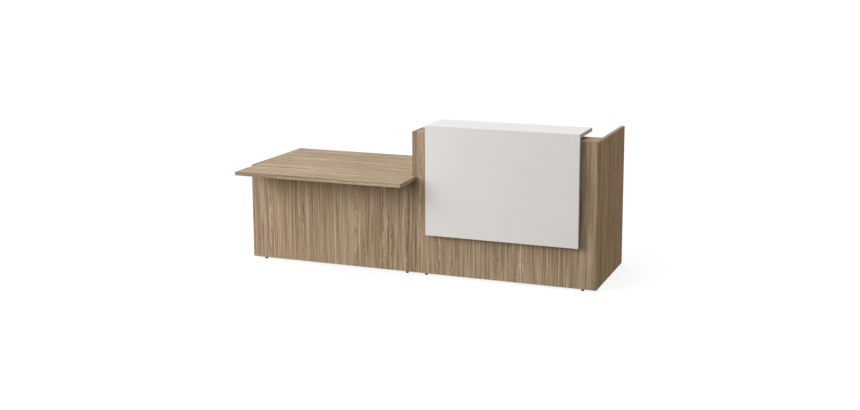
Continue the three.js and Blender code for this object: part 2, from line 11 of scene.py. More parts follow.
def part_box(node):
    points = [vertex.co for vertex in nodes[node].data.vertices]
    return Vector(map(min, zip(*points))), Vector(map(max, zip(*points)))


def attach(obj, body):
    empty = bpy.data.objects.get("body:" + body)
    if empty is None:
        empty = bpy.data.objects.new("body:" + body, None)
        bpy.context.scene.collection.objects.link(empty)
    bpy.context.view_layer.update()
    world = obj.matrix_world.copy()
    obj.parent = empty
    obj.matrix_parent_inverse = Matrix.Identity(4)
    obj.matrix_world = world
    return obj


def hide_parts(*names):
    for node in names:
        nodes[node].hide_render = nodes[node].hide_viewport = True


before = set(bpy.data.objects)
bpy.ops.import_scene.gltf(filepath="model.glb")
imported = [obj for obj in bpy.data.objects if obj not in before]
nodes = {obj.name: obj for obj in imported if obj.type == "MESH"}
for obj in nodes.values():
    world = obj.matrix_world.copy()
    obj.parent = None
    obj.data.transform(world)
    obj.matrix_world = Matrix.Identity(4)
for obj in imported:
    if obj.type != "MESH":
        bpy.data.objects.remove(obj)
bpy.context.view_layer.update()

MM = 0.001
UP = Vector((0, 0, 1))
DOWN = Vector((0, 0, -1))
TO_STAFF = Vector((0, 1, 0))
TO_VISITORS = Vector((0, -1, 0))
TO_LEFT = Vector((-1, 0, 0))
TO_RIGHT = Vector((1, 0, 0))

# Camera: the photograph's pixels, a sensor in millimetres, metres, degrees, and shifts in image widths
IMAGE_WIDTH = 860
SENSOR_WIDTH = 36.0
FOCAL_PIXELS = 1215.3
CAMERA_PLACE = (3.350, -8.373, 2.485)
CAMERA_AZIMUTH = 20.49
CAMERA_PITCH = 9.33
CAMERA_SHIFT = (-0.03, -0.08)

# Light: a sun's side is its angle to the left of the front, and gloss is whether reflections show it
Sun = namedtuple("Sun", "strength softness side height gloss")
SUNS = {
    "key": Sun(0.83, 50.0, 25.0, 22.0, True),
    "overhead": Sun(0.97, 60.0, 20.0, 82.0, True),
    "rear": Sun(0.50, 50.0, 150.0, 12.0, False),
}
SOFTBOX_POWER = 115.0
SOFTBOX_SIZE = 3.2
SOFTBOX_PLACE = (-3.2, -3.6, 2.2)
SOFTBOX_AIM = (-0.9, -0.25, 0.5)
SKY_STRENGTH = 0.46
SKY_SEEN = 1.0
FLOOR_SIZE = 160.0
FLOOR_COLOUR = (0.26, 0.26, 0.26, 1.0)
FLOOR_BOUNCE = (0.11, 0.08, 0.05, 1.0)
FLOOR_GLOW = 0.80

# Boards: the axis the grain runs along, then the board's other long axis and its thin axis
UPRIGHT_GABLE = "zyx"
UPRIGHT_FRONT = "zxy"
FLAT_TOP = "xyz"
BOARDS = {
    "left_gable": UPRIGHT_GABLE,
    "middle_gable": UPRIGHT_GABLE,
    "right_gable": UPRIGHT_GABLE,
    "low_front_panel": UPRIGHT_FRONT,
    "tall_front_panel": UPRIGHT_FRONT,
    "low_worktop": FLAT_TOP,
    "operator_worktop": FLAT_TOP,
    "counter_ledge": FLAT_TOP,
}
WHITE_BOARDS = ("counter_front", "counter_shelf")

# Each board's print starts a step further across and along the grain than the last one's
BOARD_STEP_ACROSS = 0.731
BOARD_STEP_ALONG = 2.137

# Tints that multiply the wood or the white where a surface turns far enough to an axis
# The right gable's outer tint is painted shade: it warms its outer face, which faces away from the light.
# The low worktop's tint greys the print on its top.
OUTER_TINT_AND_PAINTED_SHADE = {"right_gable": (1.10, 1.02, 0.86, 1.0), "low_worktop": (1.01, 1.04, 1.085, 1.0)}
EDGE_TINT = {"middle_gable": (0.73, 0.71, 0.69, 1.0), "right_gable": (0.88, 0.87, 0.85, 1.0)}
ARRIS_TINT = (0.76, 0.73, 0.70, 1.0)
# Darker ends of the white boards: partly painted shade, partly a greyer edging
WHITE_END_SHADE_AND_EDGING = (0.68, 0.69, 0.70, 1.0)
FACING = 0.5
ARRIS_FACING = math.sqrt(0.5)
ARRIS_TOLERANCE = 0.1

# Wood print: widths across the grain and lengths along it in metres, tones from 0, dark, to 1, light
Streak = namedtuple("Streak", "width length detail contrast")
BROAD = {
    UPRIGHT_GABLE: Streak(0.028, 1.3, 1.0, 0.56),
    UPRIGHT_FRONT: Streak(0.055, 1.3, 1.0, 0.18),
    FLAT_TOP: Streak(0.024, 1.3, 1.0, 0.50),
}
MIDDLE = Streak(0.019, 1.5, 1.0, 0.44)
NARROW = Streak(0.0075, 0.5, 2.0, 0.74)
FINE = Streak(0.0028, 0.28, 2.0, 0.42)
FIBRE = Streak(0.0010, 0.10, 2.0, 0.24)
MID_TONE = 0.5
WOOD_TONES = (
    (0.14, (112, 88, 63)),
    (0.34, (146, 124, 97)),
    (0.50, (173, 151, 124)),
    (0.66, (193, 172, 146)),
    (0.86, (214, 194, 167)),
)

# All lines drift sideways, by a reach in metres, and those of the figured strips ripple as well
Waver = namedtuple("Waver", "width length detail reach")
DRIFT = Waver(0.25, 0.70, 1.0, 0.008)
RIPPLE = Waver(0.035, 0.055, 2.5, 0.012)
STRIP_WIDTH = 0.105
STRIP_CORE = 0.012
STRIP_REACH = 0.042
STRIP_CHANCE = (0.34, 0.52)
EVEN_CHANCE = 0.5

# Arches in the figured strips: rings along the grain, bowed across it, that waver by a reach in rings
RING_WAVER = Waver(0.016, 0.14, 2.0, 1.8)
RINGS_PER_METRE = 4.5
RING_BOW = 2600.0
RING_SCATTER = 40.0
RING_TONES = ((0.0, 0.50), (0.50, 0.60), (0.88, 0.20), (1.0, 0.50))
RING_CONTRAST = 0.45

# Tinges that lie over the wood, from where the noise starts them to where they have their full share
Tinge = namedtuple("Tinge", "width length detail start full share colour")
WARM = Tinge(0.040, 3.0, 1.0, 0.48, 0.72, 0.26, (184, 148, 120))
GREY = Tinge(0.052, 2.2, 1.0, 0.50, 0.75, 0.30, (160, 144, 120))
CREAM = Tinge(0.0105, 0.9, 1.0, 0.64, 0.69, 0.75, (228, 210, 184))
DARK = Tinge(0.0060, 0.7, 1.0, 0.66, 0.71, 0.55, (104, 80, 56))
Breaks = namedtuple("Breaks", "width length detail start full least")
CREAM_BREAKS = Breaks(0.011, 0.075, 2.0, 0.40, 0.60, 0.15)
CREAM_ON_PLAIN = 0.25

# Surfaces: noise scales in cycles a metre, colours on the screen's scale, roughness at the ends of a noise
Relief = namedtuple("Relief", "depth strength")
NOISE_RANGE = (0.3, 0.7)
NOISE_DETAIL = 2.0
RICH_DETAIL = 3.0
WOOD_SPECULAR = 0.03
WOOD_ROUGHNESS = (0.66, 0.54)
WOOD_RELIEF = Relief(0.12 * MM, 0.5)
FIBRE_GROOVES = 0.7
WHITE_TONES = ((0.3, (233, 231, 228)), (0.7, (236, 234, 231)))
WHITE_CLOUD = 3.0
WHITE_SPECK = 900.0
WHITE_SPECK_SHARE = 0.3
WHITE_SPECULAR = 0.08
WHITE_ROUGHNESS = (0.48, 0.58)
WHITE_RELIEF = Relief(0.05 * MM, 0.4)
ZINC_TONES = ((0.0, (176, 180, 184)), (0.6, (194, 196, 197)), (1.0, (204, 202, 194)))
ZINC_SPANGLE = 260.0
ZINC_DULL = (150, 152, 153)
ZINC_DULL_SCALE = 45.0
ZINC_DULL_RANGE = (0.4, 0.8)
ZINC_DULL_SHARE = 0.35
ZINC_ROUGHNESS = (0.30, 0.48)
ZINC_RELIEF = Relief(0.05 * MM, 0.3)
ALLOY_TONES = ((0.3, (178, 180, 182)), (0.7, (208, 209, 210)))
ALLOY_RINGS = 2600.0
ALLOY_AROUND = 40.0
ALLOY_CLOUD = 60.0
ALLOY_ROUGHNESS = (0.26, 0.38)
ALLOY_RELIEF = Relief(0.03 * MM, 0.4)
BLACK_PLASTIC = ((24, 24, 25), (40, 40, 41))
BROWN_PLASTIC = ((150, 126, 99), (164, 141, 114))
PLASTIC_GRAIN = 2200.0
PLASTIC_RUB = 70.0
PLASTIC_RUB_RANGE = (0.5, 0.8)
PLASTIC_ROUGHNESS = (0.42, 0.60)
PLASTIC_RELIEF = Relief(0.08 * MM, 0.5)

# Boards and angles that the small fittings sit on
BOARD = 28 * MM
PLATE = 3 * MM
BRACKET_LEG = 45 * MM
BRACKET_HOLE_INSET = 16 * MM
FOOT_BRACKET_HOLES = 26 * MM

# Pan head wood screws
SCREW_HEAD = 4.4 * MM
SCREW_CROWN = 2.6 * MM
SCREW_DOME = 0.7 * SCREW_CROWN
SCREW_DOME_END = 80
SCREW_SHANK = 2.0 * MM
SCREW_LENGTH = 16 * MM
SCREW_POINT = 4 * SCREW_SHANK
SCREW_TIP = 0.4 * SCREW_SHANK
CROSS_ARM = 2.4 * MM
CROSS_WIDTH = 0.55 * MM
CROSS_DEPTH = 1.3 * MM
CROSS_FLOOR_ARM = 0.6 * CROSS_ARM
CROSS_FLOOR_WIDTH = 0.7 * CROSS_WIDTH
LEAST_SLOPE = 1e-6

# Covers of the eccentric connectors, and where they sit as shares of a bay's height and depth
CAM_CAP = 8.5 * MM
CAM_CAP_RISE = 1.3 * MM
CAM_CAP_WALL = 0.3 * CAM_CAP_RISE
CAM_CAP_ROUND = 0.5 * CAM_CAP_RISE
CAM_CAP_ROUND_MIDDLE = 0.4 * CAM_CAP_RISE
CAM_CAP_ROUND_ENDS = (20, 80)
CAM_CAP_CROWN = 0.5 * CAM_CAP
CAM_CAP_CROWN_RISE = 0.97 * CAM_CAP_RISE
CAM_CAP_FLAT = 0.1 * CAM_CAP
CAM_INSET = 34 * MM
CAM_RISES = (0.14, 0.5, 0.80)
CAM_DEPTHS = (0.30, 0.75)

# Stand-offs and button head screws
STANDOFF_WAYS = {"front": TO_VISITORS, "shelf": UP}
STANDOFF_ROUND = 1.5 * MM
STANDOFF_BORE = 3.3 * MM
BUTTON_HEAD = 6.5 * MM
BUTTON_RISE = 4 * MM
BUTTON_ROUND = 2.2 * MM
BUTTON_ROUND_END = 85
BUTTON_SHANK = 3 * MM
BUTTON_POINT = 0.5 * BUTTON_SHANK
BUTTON_TIP = 0.7 * BUTTON_SHANK
SOCKET_FLATS = 2.0 * MM
SOCKET_DEPTH = 2.2 * MM

# Levelling feet
THREAD_PITCH = 1.25 * MM
THREAD_DEPTH = 0.65 * MM
THREAD_STEPS = 5
STEM_RADIUS = 4 * MM
STEM_TIP = 1 * MM
COLLAR_BOTTOM = 9.3 * MM
COLLAR_TOP = 12.7 * MM
COLLAR_FLATS = 6.5 * MM
COLLAR_CHAMFER = 0.5 * MM
PAD_RADIUS = 12 * MM
PAD_NECK = 9 * MM
PAD_HEIGHT = 9 * MM
PAD_RIM = 4 * MM
PAD_ROUND = 1 * MM
PAD_ROUND_START = -60
PAD_RIM_FALL = 0.5 * PAD_ROUND
PAD_BREAK = 0.3 * PAD_ROUND
PAD_SOCKET = 4.3 * MM
PAD_FLOOR = 3 * MM

# How finely round pieces are divided, and the angle from which an edge stays sharp
ROUND_SIDES = 48
THREAD_SIDES = 24
ROUND_STEPS = 6
SMALL_ROUND_STEPS = 3
SHARP_ANGLE = 35.0


def shade(red, green, blue):
    """A screen colour, 0 to 255 a channel, by the sRGB curve as the linear colour of a shader socket."""

    def channel(value):
        part = value / 255
        return part / 12.92 if part <= 0.04045 else ((part + 0.055) / 1.055) ** 2.4

    return (channel(red), channel(green), channel(blue), 1.0)


class Finish:
    """The shader nodes of a material or a world, wired as they are made."""

    def __init__(self, owner):
        owner.use_nodes = True
        self.owner = owner
        self.tree = owner.node_tree
        self.tree.nodes.clear()

    def node(self, kind, inputs, **settings):
        made = self.tree.nodes.new(kind)
        for key, value in settings.items():
            setattr(made, key, value)
        for key, value in inputs.items():
            if isinstance(value, bpy.types.NodeSocket):
                self.tree.links.new(value, made.inputs[key])
            else:
                made.inputs[key].default_value = value
        return made

    def math(self, operation, *values):
        return self.node("ShaderNodeMath", dict(enumerate(values)), operation=operation).outputs[0]

    def add(self, *values):
        total = values[0]
        for value in values[1:]:
            total = self.math("ADD", total, value)
        return total

    def times(self, *values):
        product = values[0]
        for value in values[1:]:
            product = self.math("MULTIPLY", product, value)
        return product

    def absolute(self, value):
        return self.math("ABSOLUTE", value)

    def remap(self, value, low, high, to_low, to_high):
        inputs = {0: value, 1: low, 2: high, 3: to_low, 4: to_high}
        return self.node("ShaderNodeMapRange", inputs, clamp=True).outputs[0]

    def over_noise(self, noise, ends):
        """A value between two ends, over the range that a noise mostly keeps to."""
        return self.remap(noise, *NOISE_RANGE, *ends)

    def mix(self, share, first, second, blend="MIX"):
        inputs = {0: share, 6: first, 7: second}
        return self.node("ShaderNodeMix", inputs, data_type="RGBA", blend_type=blend).outputs[2]

    def tint(self, share, colour, factor):
        return self.mix(share, colour, factor, "MULTIPLY")

    def vector(self, x, y, z=0.0):
        return self.node("ShaderNodeCombineXYZ", {0: x, 1: y, 2: z}).outputs[0]

    def noise(self, place, scale=1.0, detail=NOISE_DETAIL, dimensions="3D"):
        inputs = {"Vector": place, "Scale": scale, "Detail": detail}
        return self.node("ShaderNodeTexNoise", inputs, noise_dimensions=dimensions).outputs[0]

    def cells(self, inputs, dimensions="3D"):
        """Cells of random size, and the three random numbers of each cell."""
        made = self.node("ShaderNodeTexVoronoi", inputs, voronoi_dimensions=dimensions)
        return made, self.node("ShaderNodeSeparateColor", {0: made.outputs["Color"]}).outputs

    def ramp(self, value, stops):
        made = self.node("ShaderNodeValToRGB", {0: value})
        elements = made.color_ramp.elements
        while len(elements) < len(stops):
            elements.new(1.0)
        for element, (position, colour) in zip(elements, stops):
            element.position = position
            element.color = colour
        return made.outputs[0]

    def tones(self, value, stops):
        return self.ramp(value, [(position, shade(*colour)) for position, colour in stops])

    def place(self):
        """The point and the direction of the surface, in the frame of the desk."""
        made = self.node("ShaderNodeTexCoord", {})
        return made.outputs["Object"], made.outputs["Normal"]

    def parts(self, vector):
        return self.node("ShaderNodeSeparateXYZ", {0: vector}).outputs

    def relief(self, height, relief):
        inputs = {"Height": height, "Distance": relief.depth, "Strength": relief.strength}
        return self.node("ShaderNodeBump", inputs).outputs[0]

    def seen(self):
        """One for what the camera, gloss and glass see, and zero for the light that falls on the desk."""
        path = self.node("ShaderNodeLightPath", {}).outputs
        plain_or_gloss = self.math("MAXIMUM", path["Is Camera Ray"], path["Is Glossy Ray"])
        return self.math("MAXIMUM", plain_or_gloss, path["Is Transmission Ray"])

    def surface(self, **inputs):
        named = {key.replace("_", " "): value for key, value in inputs.items()}
        shader = self.node("ShaderNodeBsdfPrincipled", named)
        self.node("ShaderNodeOutputMaterial", {"Surface": shader.outputs[0]})
        return self.owner


def new_finish(name):
    return Finish(bpy.data.materials.new(name))


def grain_space(finish, axes, seed):
    """Distances across and along the grain of a board, and how far the surface faces along its thin axis.

    On the ends of the board the distances follow the edging strip.
    """
    point, normal = finish.place()
    at = dict(zip("xyz", finish.parts(point)))
    facing = dict(zip("xyz", finish.parts(normal)))
    grain, wide, thin = axes
    end = finish.math("GREATER_THAN", finish.absolute(facing[grain]), FACING)

    def pick(face, edge):
        return finish.add(face, finish.times(end, finish.math("SUBTRACT", edge, face)))

    across = finish.add(pick(finish.add(at[wide], at[thin]), at[thin]), seed * BOARD_STEP_ACROSS)
    along = finish.add(pick(at[grain], at[wide]), seed * BOARD_STEP_ALONG)
    return across, along, facing[thin]


def laminate(board, axes, seed):
    """Wood-print laminate: straight streaks of several widths, and strips whose lines waver and arch."""
    finish = new_finish("laminate_" + board)
    across, along, outward = grain_space(finish, axes, seed)

    def field(form, source=across):
        place = finish.vector(finish.times(source, 1 / form.width), finish.times(along, 1 / form.length))
        return finish.noise(place, detail=form.detail, dimensions="2D")

    def waver(form):
        return finish.remap(field(form), 0.0, 1.0, -form.reach, form.reach)

    # Some of the strips are figured, most of all along their middle
    strip, chance = finish.cells({"W": finish.times(across, 1 / STRIP_WIDTH), "Scale": 1.0}, "1D")
    offset = finish.math("SUBTRACT", across, finish.times(strip.outputs["W"], STRIP_WIDTH))
    near = finish.remap(finish.absolute(offset), STRIP_CORE, STRIP_REACH, 1.0, 0.0)
    figured = finish.times(near, finish.remap(chance[1], *STRIP_CHANCE, 0.0, 1.0))
    wavy = finish.add(across, waver(DRIFT), finish.times(waver(RIPPLE), figured))

    def streaks(form):
        return field(form, wavy)

    layers = {form: streaks(form) for form in (BROAD[axes], MIDDLE, NARROW, FINE, FIBRE)}
    swings = [finish.times(finish.add(layer, -MID_TONE), form.contrast) for form, layer in layers.items()]

    # Arches bow to one side or the other, as each strip's random numbers say
    side = finish.remap(finish.math("GREATER_THAN", chance[2], EVEN_CHANCE), 0.0, 1.0, -1.0, 1.0)
    ring = finish.math("FRACT", finish.add(
        finish.times(along, RINGS_PER_METRE),
        finish.times(offset, offset, RING_BOW, side),
        finish.times(chance[0], RING_SCATTER),
        finish.times(field(RING_WAVER), RING_WAVER.reach),
    ))
    ring_tone = finish.ramp(ring, [(position, (tone, tone, tone, 1.0)) for position, tone in RING_TONES])
    arched = finish.times(figured, finish.times(finish.add(ring_tone, -MID_TONE), RING_CONTRAST))
    wood = finish.tones(finish.add(*swings, MID_TONE, arched), WOOD_TONES)

    def share_of(tinge):
        return finish.remap(streaks(tinge), tinge.start, tinge.full, 0.0, tinge.share)

    # Cream lines are broken along their length, and fainter outside the figured strips
    gaps = CREAM_BREAKS
    broken = finish.remap(field(gaps), gaps.start, gaps.full, gaps.least, 1.0)
    cream = finish.times(share_of(CREAM), broken, finish.add(figured, CREAM_ON_PLAIN))
    wood = finish.mix(share_of(WARM), wood, shade(*WARM.colour))
    wood = finish.mix(share_of(GREY), wood, shade(*GREY.colour))
    wood = finish.mix(cream, wood, shade(*CREAM.colour))
    wood = finish.mix(share_of(DARK), wood, shade(*DARK.colour))

    # Outer faces take their tint: painted warm shade on the right gable, a greyer print on the low worktop
    if board in OUTER_TINT_AND_PAINTED_SHADE:
        outer = finish.math("GREATER_THAN", outward, FACING)
        wood = finish.tint(outer, wood, OUTER_TINT_AND_PAINTED_SHADE[board])
    if board in EDGE_TINT:
        edge = finish.math("LESS_THAN", finish.absolute(outward), FACING)
        wood = finish.tint(edge, wood, EDGE_TINT[board])
    arris = finish.math("COMPARE", finish.absolute(outward), ARRIS_FACING, ARRIS_TOLERANCE)
    wood = finish.tint(arris, wood, ARRIS_TINT)

    grooves = finish.add(
        finish.times(layers[FIBRE], FIBRE_GROOVES),
        finish.times(layers[FINE], 1 - FIBRE_GROOVES),
    )
    return finish.surface(
        Base_Color=wood,
        Specular_IOR_Level=WOOD_SPECULAR,
        Roughness=finish.over_noise(grooves, WOOD_ROUGHNESS),
        Normal=finish.relief(grooves, WOOD_RELIEF),
    )


def white_laminate():
    """White laminate with a fine pearl texture, the faintest unevenness of tone and greyer ends, partly
    painted shade and partly a greyer edging.
    """
    finish = new_finish("white_laminate")
    point, normal = finish.place()
    cloud = finish.noise(point, WHITE_CLOUD)
    speck = finish.noise(point, WHITE_SPECK)
    tone = finish.add(finish.times(cloud, 1 - WHITE_SPECK_SHARE), finish.times(speck, WHITE_SPECK_SHARE))
    # The end faces are darkened: partly painted shade, as on the shelf's right end, and partly a greyer
    # edging
    end = finish.math("GREATER_THAN", finish.absolute(finish.parts(normal)[0]), FACING)
    return finish.surface(
        Base_Color=finish.tint(end, finish.tones(tone, WHITE_TONES), WHITE_END_SHADE_AND_EDGING),
        Specular_IOR_Level=WHITE_SPECULAR,
        Roughness=finish.over_noise(speck, WHITE_ROUGHNESS),
        Normal=finish.relief(speck, WHITE_RELIEF),
    )


def zinc_steel():
    """Bright zinc plating: small spangles with a slight change of tint, and dull patches."""
    finish = new_finish("zinc_steel")
    point, _ = finish.place()
    _, chance = finish.cells({"Vector": point, "Scale": ZINC_SPANGLE})
    dull = finish.noise(point, ZINC_DULL_SCALE, RICH_DETAIL)
    dull_share = finish.remap(dull, *ZINC_DULL_RANGE, 0.0, ZINC_DULL_SHARE)
    return finish.surface(
        Base_Color=finish.mix(dull_share, finish.tones(chance[0], ZINC_TONES), shade(*ZINC_DULL)),
        Metallic=1.0,
        Roughness=finish.over_noise(dull, ZINC_ROUGHNESS),
        Normal=finish.relief(dull, ZINC_RELIEF),
    )


def turned_aluminium(label, way):
    """Turned aluminium with fine rings along the way that a stand-off points."""
    finish = new_finish("turned_aluminium_" + label)
    point, _ = finish.place()
    scales = [ALLOY_RINGS if part else ALLOY_AROUND for part in way]
    scaled = [finish.times(part, scale) for part, scale in zip(finish.parts(point), scales)]
    rings = finish.noise(finish.vector(*scaled))
    return finish.surface(
        Base_Color=finish.tones(rings, ALLOY_TONES),
        Metallic=1.0,
        Roughness=finish.over_noise(finish.noise(point, ALLOY_CLOUD), ALLOY_ROUGHNESS),
        Normal=finish.relief(rings, ALLOY_RELIEF),
    )


def moulded_plastic(name, dark, light):
    """Moulded plastic with a fine spark-eroded texture, paler where it has been rubbed."""
    finish = new_finish(name)
    point, _ = finish.place()
    speck = finish.noise(point, PLASTIC_GRAIN, RICH_DETAIL)
    rubbed = finish.remap(finish.noise(point, PLASTIC_RUB, RICH_DETAIL), *PLASTIC_RUB_RANGE, 0.0, 1.0)
    return finish.surface(
        Base_Color=finish.mix(rubbed, shade(*dark), shade(*light)),
        Roughness=finish.over_noise(speck, PLASTIC_ROUGHNESS),
        Normal=finish.relief(speck, PLASTIC_RELIEF),
    )


def link(name, data):
    made = bpy.data.objects.new(name, data)
    bpy.context.scene.collection.objects.link(made)
    return made


def dress(names, material):
    for name in names:
        slots = nodes[name].data.materials
        slots.clear()
        slots.append(material)


def starting(*prefixes):
    return [name for name in nodes if name.startswith(prefixes)]


def holding(word):
    return [name for name in nodes if word in name]


def arc(middle_radius, middle_height, radius, first, last, steps=ROUND_STEPS):
    """Rings round a rounded edge, from one angle to another above the outward direction, in degrees."""
    turns = [math.radians(first + (last - first) * step / steps) for step in range(steps + 1)]
    return [(middle_radius + radius * math.cos(t), middle_height + radius * math.sin(t)) for t in turns]


def hexagon(flats):
    """The reach of a hexagon at each angle, from half its width across the flats."""
    sixth = math.pi / 3
    return lambda angle: flats / math.cos(angle % sixth - sixth / 2)


def cross(arm, width):
    """The reach of a cross recess at each angle."""

    def reach(angle):
        across = max(abs(math.sin(angle)), LEAST_SLOPE)
        down = max(abs(math.cos(angle)), LEAST_SLOPE)
        return max(min(arm / down, width / across), min(width / down, arm / across))

    return reach


def revolve(rings, sides=ROUND_SIDES, hollow=False):
    """A closed form about Z from rings of radius and height. A radius may change with the angle."""
    shape = bmesh.new()
    angles = [2 * math.pi * index / sides for index in range(sides)]
    loops = []
    for radius, height in rings:
        reaches = [radius(angle) if callable(radius) else radius for angle in angles]
        loops.append([
            shape.verts.new((reach * math.cos(angle), reach * math.sin(angle), height))
            for reach, angle in zip(reaches, angles)
        ])
    pairs = list(zip(loops, loops[1:]))
    if hollow:
        pairs.append((loops[-1], loops[0]))
    else:
        shape.faces.new(loops[0][::-1])
        shape.faces.new(loops[-1])
    for lower, upper in pairs:
        for index in range(sides):
            after = (index + 1) % sides
            shape.faces.new((lower[index], lower[after], upper[after], upper[index]))
    bmesh.ops.recalc_face_normals(shape, faces=shape.faces)
    return shape


def placed(middle, direction=UP):
    """The turn and shift that take a form standing on the origin to a place and a direction."""
    turn = UP.rotation_difference(direction)
    return Matrix.Translation(middle) @ turn.to_matrix().to_4x4()


def piece(name, copies, material, body="desk", stands_for=None):
    """One piece from forms and their places. It rides on a body of the frame."""
    whole = bmesh.new()
    for form, place in copies:
        single = bpy.data.meshes.new(name)
        copy = form.copy()
        copy.transform(place)
        copy.to_mesh(single)
        whole.from_mesh(single)
        copy.free()
        bpy.data.meshes.remove(single)
    mesh = bpy.data.meshes.new(name)
    whole.to_mesh(mesh)
    whole.free()
    mesh.shade_smooth()
    mesh.set_sharp_from_angle(angle=math.radians(SHARP_ANGLE))
    mesh.materials.append(material)
    made = link(name, mesh)
    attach(made, body)
    if stands_for:
        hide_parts(stands_for)


def pan_head_screw():
    """A pan head screw with a cross recess: its head stands on zero and its shank runs below."""
    return revolve([
        (SCREW_TIP, -SCREW_LENGTH),
        (SCREW_SHANK, -SCREW_LENGTH + SCREW_POINT),
        (SCREW_SHANK, 0),
        (SCREW_HEAD, 0),
        *arc(SCREW_HEAD - SCREW_DOME, SCREW_CROWN - SCREW_DOME, SCREW_DOME, 0, SCREW_DOME_END),
        (cross(CROSS_ARM, CROSS_WIDTH), SCREW_CROWN),
        (cross(CROSS_FLOOR_ARM, CROSS_FLOOR_WIDTH), SCREW_CROWN - CROSS_DEPTH),
    ])


def button_screw(length):
    """A button head screw with a hexagon socket: its head stands on zero and its shank runs below."""
    return revolve([
        (BUTTON_TIP, -length),
        (BUTTON_SHANK, -length + BUTTON_POINT),
        (BUTTON_SHANK, 0),
        (BUTTON_HEAD, 0),
        *arc(BUTTON_HEAD - BUTTON_ROUND, BUTTON_RISE - BUTTON_ROUND, BUTTON_ROUND, 0, BUTTON_ROUND_END),
        (hexagon(SOCKET_FLATS), BUTTON_RISE),
        (hexagon(SOCKET_FLATS), BUTTON_RISE - SOCKET_DEPTH),
    ])


def cam_cap():
    """The thin, slightly crowned cover over an eccentric connector."""
    return revolve([
        (CAM_CAP, 0),
        (CAM_CAP, CAM_CAP_WALL),
        *arc(CAM_CAP - CAM_CAP_ROUND, CAM_CAP_ROUND_MIDDLE, CAM_CAP_ROUND, *CAM_CAP_ROUND_ENDS),
        (CAM_CAP_CROWN, CAM_CAP_CROWN_RISE),
        (CAM_CAP_FLAT, CAM_CAP_RISE),
    ])


def standoff(radius, length):
    """A turned spacer with a bore and rounded ends."""
    edge = STANDOFF_ROUND
    return revolve([
        (STANDOFF_BORE, 0),
        (radius - edge, 0),
        *arc(radius - edge, edge, edge, -90, 0, SMALL_ROUND_STEPS),
        *arc(radius - edge, length - edge, edge, 0, 90, SMALL_ROUND_STEPS),
        (STANDOFF_BORE, length),
    ], hollow=True)


def foot_pad():
    """The pad's floor, rim, sloping neck and the socket that the stem turns in."""
    return revolve([
        (PAD_RADIUS - PAD_ROUND, 0),
        *arc(PAD_RADIUS - PAD_ROUND, PAD_ROUND, PAD_ROUND, PAD_ROUND_START, 0, SMALL_ROUND_STEPS),
        (PAD_RADIUS, PAD_RIM - PAD_RIM_FALL),
        (PAD_RADIUS - PAD_BREAK, PAD_RIM),
        (PAD_NECK + PAD_BREAK, PAD_HEIGHT - PAD_BREAK),
        (PAD_NECK - PAD_BREAK, PAD_HEIGHT),
        (PAD_SOCKET, PAD_HEIGHT),
        (PAD_SOCKET, PAD_FLOOR),
    ])


def foot_stem(bottom, top):
    """A threaded stem with a hexagon collar. The thread climbs one pitch in each turn."""

    def thread(height):
        def reach(angle):
            phase = (height / THREAD_PITCH - angle / (2 * math.pi)) % 1
            return STEM_RADIUS - THREAD_DEPTH * abs(2 * phase - 1)

        return reach

    steps = int((top - STEM_TIP - COLLAR_TOP) / THREAD_PITCH * THREAD_STEPS)
    heights = [COLLAR_TOP + THREAD_PITCH * step / THREAD_STEPS for step in range(1, steps)]
    worn = COLLAR_FLATS - COLLAR_CHAMFER
    return revolve([
        (STEM_RADIUS, bottom),
        (STEM_RADIUS, COLLAR_BOTTOM),
        (hexagon(worn), COLLAR_BOTTOM),
        (hexagon(COLLAR_FLATS), COLLAR_BOTTOM + COLLAR_CHAMFER),
        (hexagon(COLLAR_FLATS), COLLAR_TOP - COLLAR_CHAMFER),
        (hexagon(worn), COLLAR_TOP),
        (STEM_RADIUS - THREAD_DEPTH, COLLAR_TOP),
        *[(thread(height), height) for height in heights],
        (STEM_RADIUS - THREAD_DEPTH, top - STEM_TIP),
        (STEM_RADIUS - STEM_TIP, top),
    ], THREAD_SIDES)


def span(node):
    """The lowest and highest corners of a node, and its middle."""
    low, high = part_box(node)
    return low, high, (low + high) / 2


def feet(metal, black):
    """Smooth pads and threaded stems in place of the faceted ones."""
    for pad in starting("foot_pad_"):
        label = pad.removeprefix("foot_pad_")
        stem = "foot_stem_" + label
        low, high, middle = span(stem)
        foot = placed((middle.x, middle.y, 0))
        piece(f"pad_{label}_moulded", [(foot_pad(), foot)], black, f"pad_{label}", pad)
        threaded = foot_stem(low.z, high.z)
        piece(f"stem_{label}_threaded", [(threaded, foot)], metal, f"stem_{label}", stem)


def counter_fixings(metal):
    """Round stand-offs and button head screws in place of the faceted ones."""
    for label, way in STANDOFF_WAYS.items():
        alloy = turned_aluminium(label, way)
        for node in starting(label + "_standoff_"):
            low, high, middle = span(node)
            length = abs((high - low).dot(way))
            form = standoff(max(high - low) / 2, length)
            start = placed(middle - way * length / 2, way)
            dress([node], alloy)
            piece(node + "_turned", [(form, start)], alloy, stands_for=node)
        for node in starting(label + "_screw_"):
            low, high, middle = span(node)
            length = abs((high - low).dot(way))
            form = button_screw(length - BUTTON_RISE)
            head = placed(middle - way * (length / 2 - BUTTON_RISE), -way)
            piece(node + "_button", [(form, head)], metal, stands_for=node)


def bracket_screws(metal):
    """Two screws in each angle: one up into the worktop, one into the upright board."""
    form = pan_head_screw()
    reach = BRACKET_LEG - BRACKET_HOLE_INSET
    for node in [name for name in holding("_bracket_") if not name.startswith("foot")]:
        low, high, middle = span(node)
        if "front" in node:
            corner, out = Vector((middle.x, low.y, high.z)), TO_STAFF
        elif "left" in node:
            corner, out = Vector((low.x, middle.y, high.z)), TO_RIGHT
        else:
            corner, out = Vector((high.x, middle.y, high.z)), TO_LEFT
        piece(node + "_screws", [
            (form, placed(corner + out * reach + DOWN * PLATE, DOWN)),
            (form, placed(corner + DOWN * reach + out * PLATE, out)),
        ], metal)


